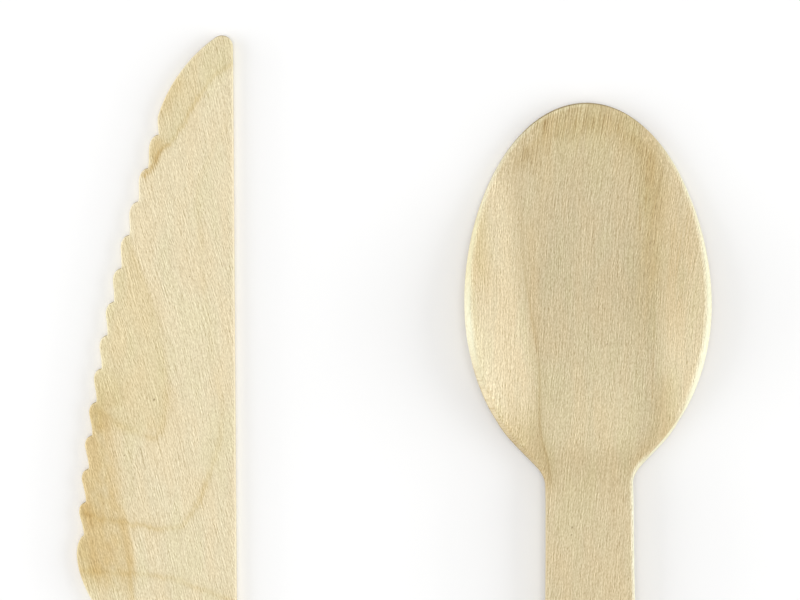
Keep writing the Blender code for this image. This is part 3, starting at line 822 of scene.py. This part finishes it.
    # two bruises on the left and two hairline cracks on the right of it
    for points, width, depth in ((((-8.7, 4.7), (-8.2, 7.3)), 0.75, 0.70), (((-5.7, 2.6), (-5.3, 6.6)), 0.70, 0.55),
                                 (((-10.6, 6.6), (-10.3, 8.8)), 0.60, 0.25)):
        spread = n.near_path(n.add(a, n.mul(tear, 0.8)), v, points)
        colour = n.tint(colour, (0.86, 0.81, 0.70), n.mul(n.line(spread, width), n.window(streak, -0.10, 0.16), depth * 0.85))
    for points, size in ((((8.3, 5.4), (8.2, 10.0), (8.1, 15.5)), 0.10), (((7.3, 11.5), (7.25, 17.5)), 0.08)):
        crack = n.near_path(n.add(a, n.mul(hair, 0.25)), v, points)
        colour = n.tint(colour, (0.80, 0.73, 0.61), n.mul(n.line(crack, size), n.window(tear, -0.25, 0.10), 0.9))
    # painted shade across the pinch at the neck, where it climbs; then the handle a shade paler
    pinch = n.add(v, n.mul(a, a, 0.03))
    colour = n.tint(colour, (0.990, 0.975, 0.945), n.window(pinch, 46.0, 50.0, 51.0, 56.5))
    colour = n.tint(colour, (1.035, 1.03, 1.03), n.window(v, 47.0, 58.0))
    # paler floor just above it
    pale = n.mul(n.window(v, 30.0, 38.0, 46.0, 49.0), n.window(n.math("ABSOLUTE", n.add(a, -0.5)), 8.0, 4.0))
    colour = n.tint(colour, (1.045, 1.055, 1.065), pale)
    for (x, y), size in (((-2.4, 57.9), 0.09), ((-2.5, 58.9), 0.07), ((2.7, 33.0), 0.07)):
        spot = n.near_path(a, v, ((x, y), (x - 0.05, y + 0.12)))
        colour = n.tint(colour, (0.42, 0.36, 0.28), n.mul(n.line(spot, size), 0.85))
    # the painted highlight on the left rim is weaker, painted shade darkens its lower edge towards the neck, and both
    # rims are frayed
    left = n.window(n.mul(a, -1.0), 4.0, 6.0)
    shaded_left_rim = n.mul(left, n.window(v, 34.0, 40.0, 50.0, 54.0))
    colour = n.tint(colour, (0.66, 0.60, 0.50), n.mul(n.window(h, 0.55, 0.25), shaded_left_rim))
    rough = n.window(n.noise(n.xyz(n.mul(a, 5.5), n.mul(l, 2.6), 9.0), 1.0, 0.0), 0.44, 0.68)
    torn = n.mul(n.window(inset, 0.5, 0.1), shaded_left_rim)
    colour = n.tint(colour, (1.06, 1.07, 1.08), torn)
    colour = n.tint(colour, (0.83, 0.79, 0.71), n.mul(rough, torn))
    fray = n.noise(n.xyz(n.mul(a, 4.2), n.mul(l, 1.7), 4.0), 1.0, 0.0)
    frays = n.mul(n.window(fray, 0.55, 0.65), n.window(inset, 0.0, 0.20, 0.8, 1.7))
    frayed = n.add(n.mul(left, n.add(n.window(v, 26.0, 34.0, 46.0, 50.0), n.window(v, 3.0, 5.0, 11.0, 15.0))),
                   n.mul(n.window(a, 4.0, 6.0), n.window(v, 2.5, 4.5, 9.0, 14.0)))
    colour = n.tint(colour, (1.15, 1.17, 1.20), n.mul(frays, frayed))
    # how much of the painted highlight the left rim gets
    left_rim_light = n.add(0.04, n.mul(n.window(v, 38.0, 30.0), 0.70))
    # the painted highlight on the right rim narrows at the neck, with a thin painted highlight along its lower edge
    narrow_rim_light = n.mul(n.window(v, 38.0, 45.0, 47.5, 50.0), n.window(h, 1.05, 1.30))
    right_rim_highlight = n.mul(n.window(a, 4.0, 5.0), n.window(v, 41.0, 46.0), n.window(inset, 0.12, 0.02))
    colour = n.tint(colour, (1.06, 1.09, 1.17), n.mul(right_rim_highlight, n.math("SUBTRACT", 1.0, narrow_rim_light)))
    right_rim_light = n.mul(n.window(v, 3.5, 9.0), n.math("SUBTRACT", 1.0, narrow_rim_light))
    return colour, n.add(n.mul(n.window(a, -1.0, 1.0), n.math("SUBTRACT", right_rim_light, left_rim_light)), left_rim_light)


# ================================================================== pieces

knife = build_knife()
spoon = build_spoon()

# the last two ratios of each piece paint highlights on the cut and on the eased arc beside it
knife.data.materials.append(birch("birch_knife", (0.682, 0.594, 0.398), -0.25, knife_figure, 0.97,
                                 (1.20, 1.26, 1.40), (1.05, 1.06, 1.09)))
spoon.data.materials.append(birch("birch_spoon", (0.562, 0.473, 0.296), 0.110, spoon_figure, 1.04,
                                 (1.23, 1.42, 1.62), (1.20, 1.28, 1.40)))

for piece, node, slot in ((knife, "knife", "knife_birch"), (spoon, "spoon", "spoon_birch")):
    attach(piece, "root")
    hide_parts(node)

# ================================================================== stage

floor_mesh = bpy.data.meshes.new("studio_floor")
fb = bmesh.new()
bmesh.ops.create_circle(fb, cap_ends=True, segments=96, radius=12.0)
fb.to_mesh(floor_mesh)
fb.free()
floor = bpy.data.objects.new("studio_floor", floor_mesh)
floor.location = (0.0, 0.0, -0.00004)
bpy.context.scene.collection.objects.link(floor)
fm = bpy.data.materials.new("studio_white")
fm.use_nodes = True
fs = fm.node_tree.nodes["Principled BSDF"]
fs.inputs["Base Color"].default_value = (0.868, 0.868, 0.866, 1.0)
fs.inputs["Roughness"].default_value = 0.9
fs.inputs["Specular IOR Level"].default_value = 0.1
floor.data.materials.append(fm)

world = bpy.data.worlds.new("studio")
bpy.context.scene.world = world
world.use_nodes = True
wt = world.node_tree
wbg = wt.nodes["Background"]
wbg.inputs["Color"].default_value = (1.0, 1.0, 1.0, 1.0)
wbg.inputs["Strength"].default_value = 0.478


def softbox(name, place, size, power, target=(0.0, 0.03, 0.0)):
    light = bpy.data.lights.new(name, "AREA")
    light.shape = "RECTANGLE"
    light.size, light.size_y = size
    light.energy = power
    obj = bpy.data.objects.new(name, light)
    obj.location = place
    obj.rotation_mode = "QUATERNION"
    obj.rotation_quaternion = (Vector(target) - Vector(place)).to_track_quat("-Z", "Y")
    obj.visible_camera = False
    bpy.context.scene.collection.objects.link(obj)
    return obj


for side, name, share in ((-1, "left", 0.77), (1, "right", 0.83)):
    softbox("softbox_" + name, (3.0 * side, 0.0, 1.75), (4.0, 1.9), 57.3 * share, (0.0, 0.0, 1.2))
    softbox("lowstrip_" + name, (3.0 * side, 0.0, 0.6), (4.0, 0.5), 40.0 * share, (0.0, 0.0, 0.4))
softbox("softbox_top", (0.0, 0.0, 3.0), (1.6, 1.6), 30.5, (0.0, 0.0, 0.0))

# ================================================================== camera

cam = bpy.data.cameras.new("camera")
cam.lens = 135.0
cam.sensor_width = 36.0
cam.sensor_fit = "HORIZONTAL"
cam.clip_start, cam.clip_end = 0.01, 50.0
cam_obj = bpy.data.objects.new("camera", cam)
cam_obj.location = (0.00087, 0.04636, 0.0017 + 0.1096 * 135.0 / 36.0)
bpy.context.scene.collection.objects.link(cam_obj)
bpy.context.scene.camera = cam_obj

bpy.context.scene.view_settings.view_transform = "Standard"
bpy.context.scene.view_settings.look = "None"
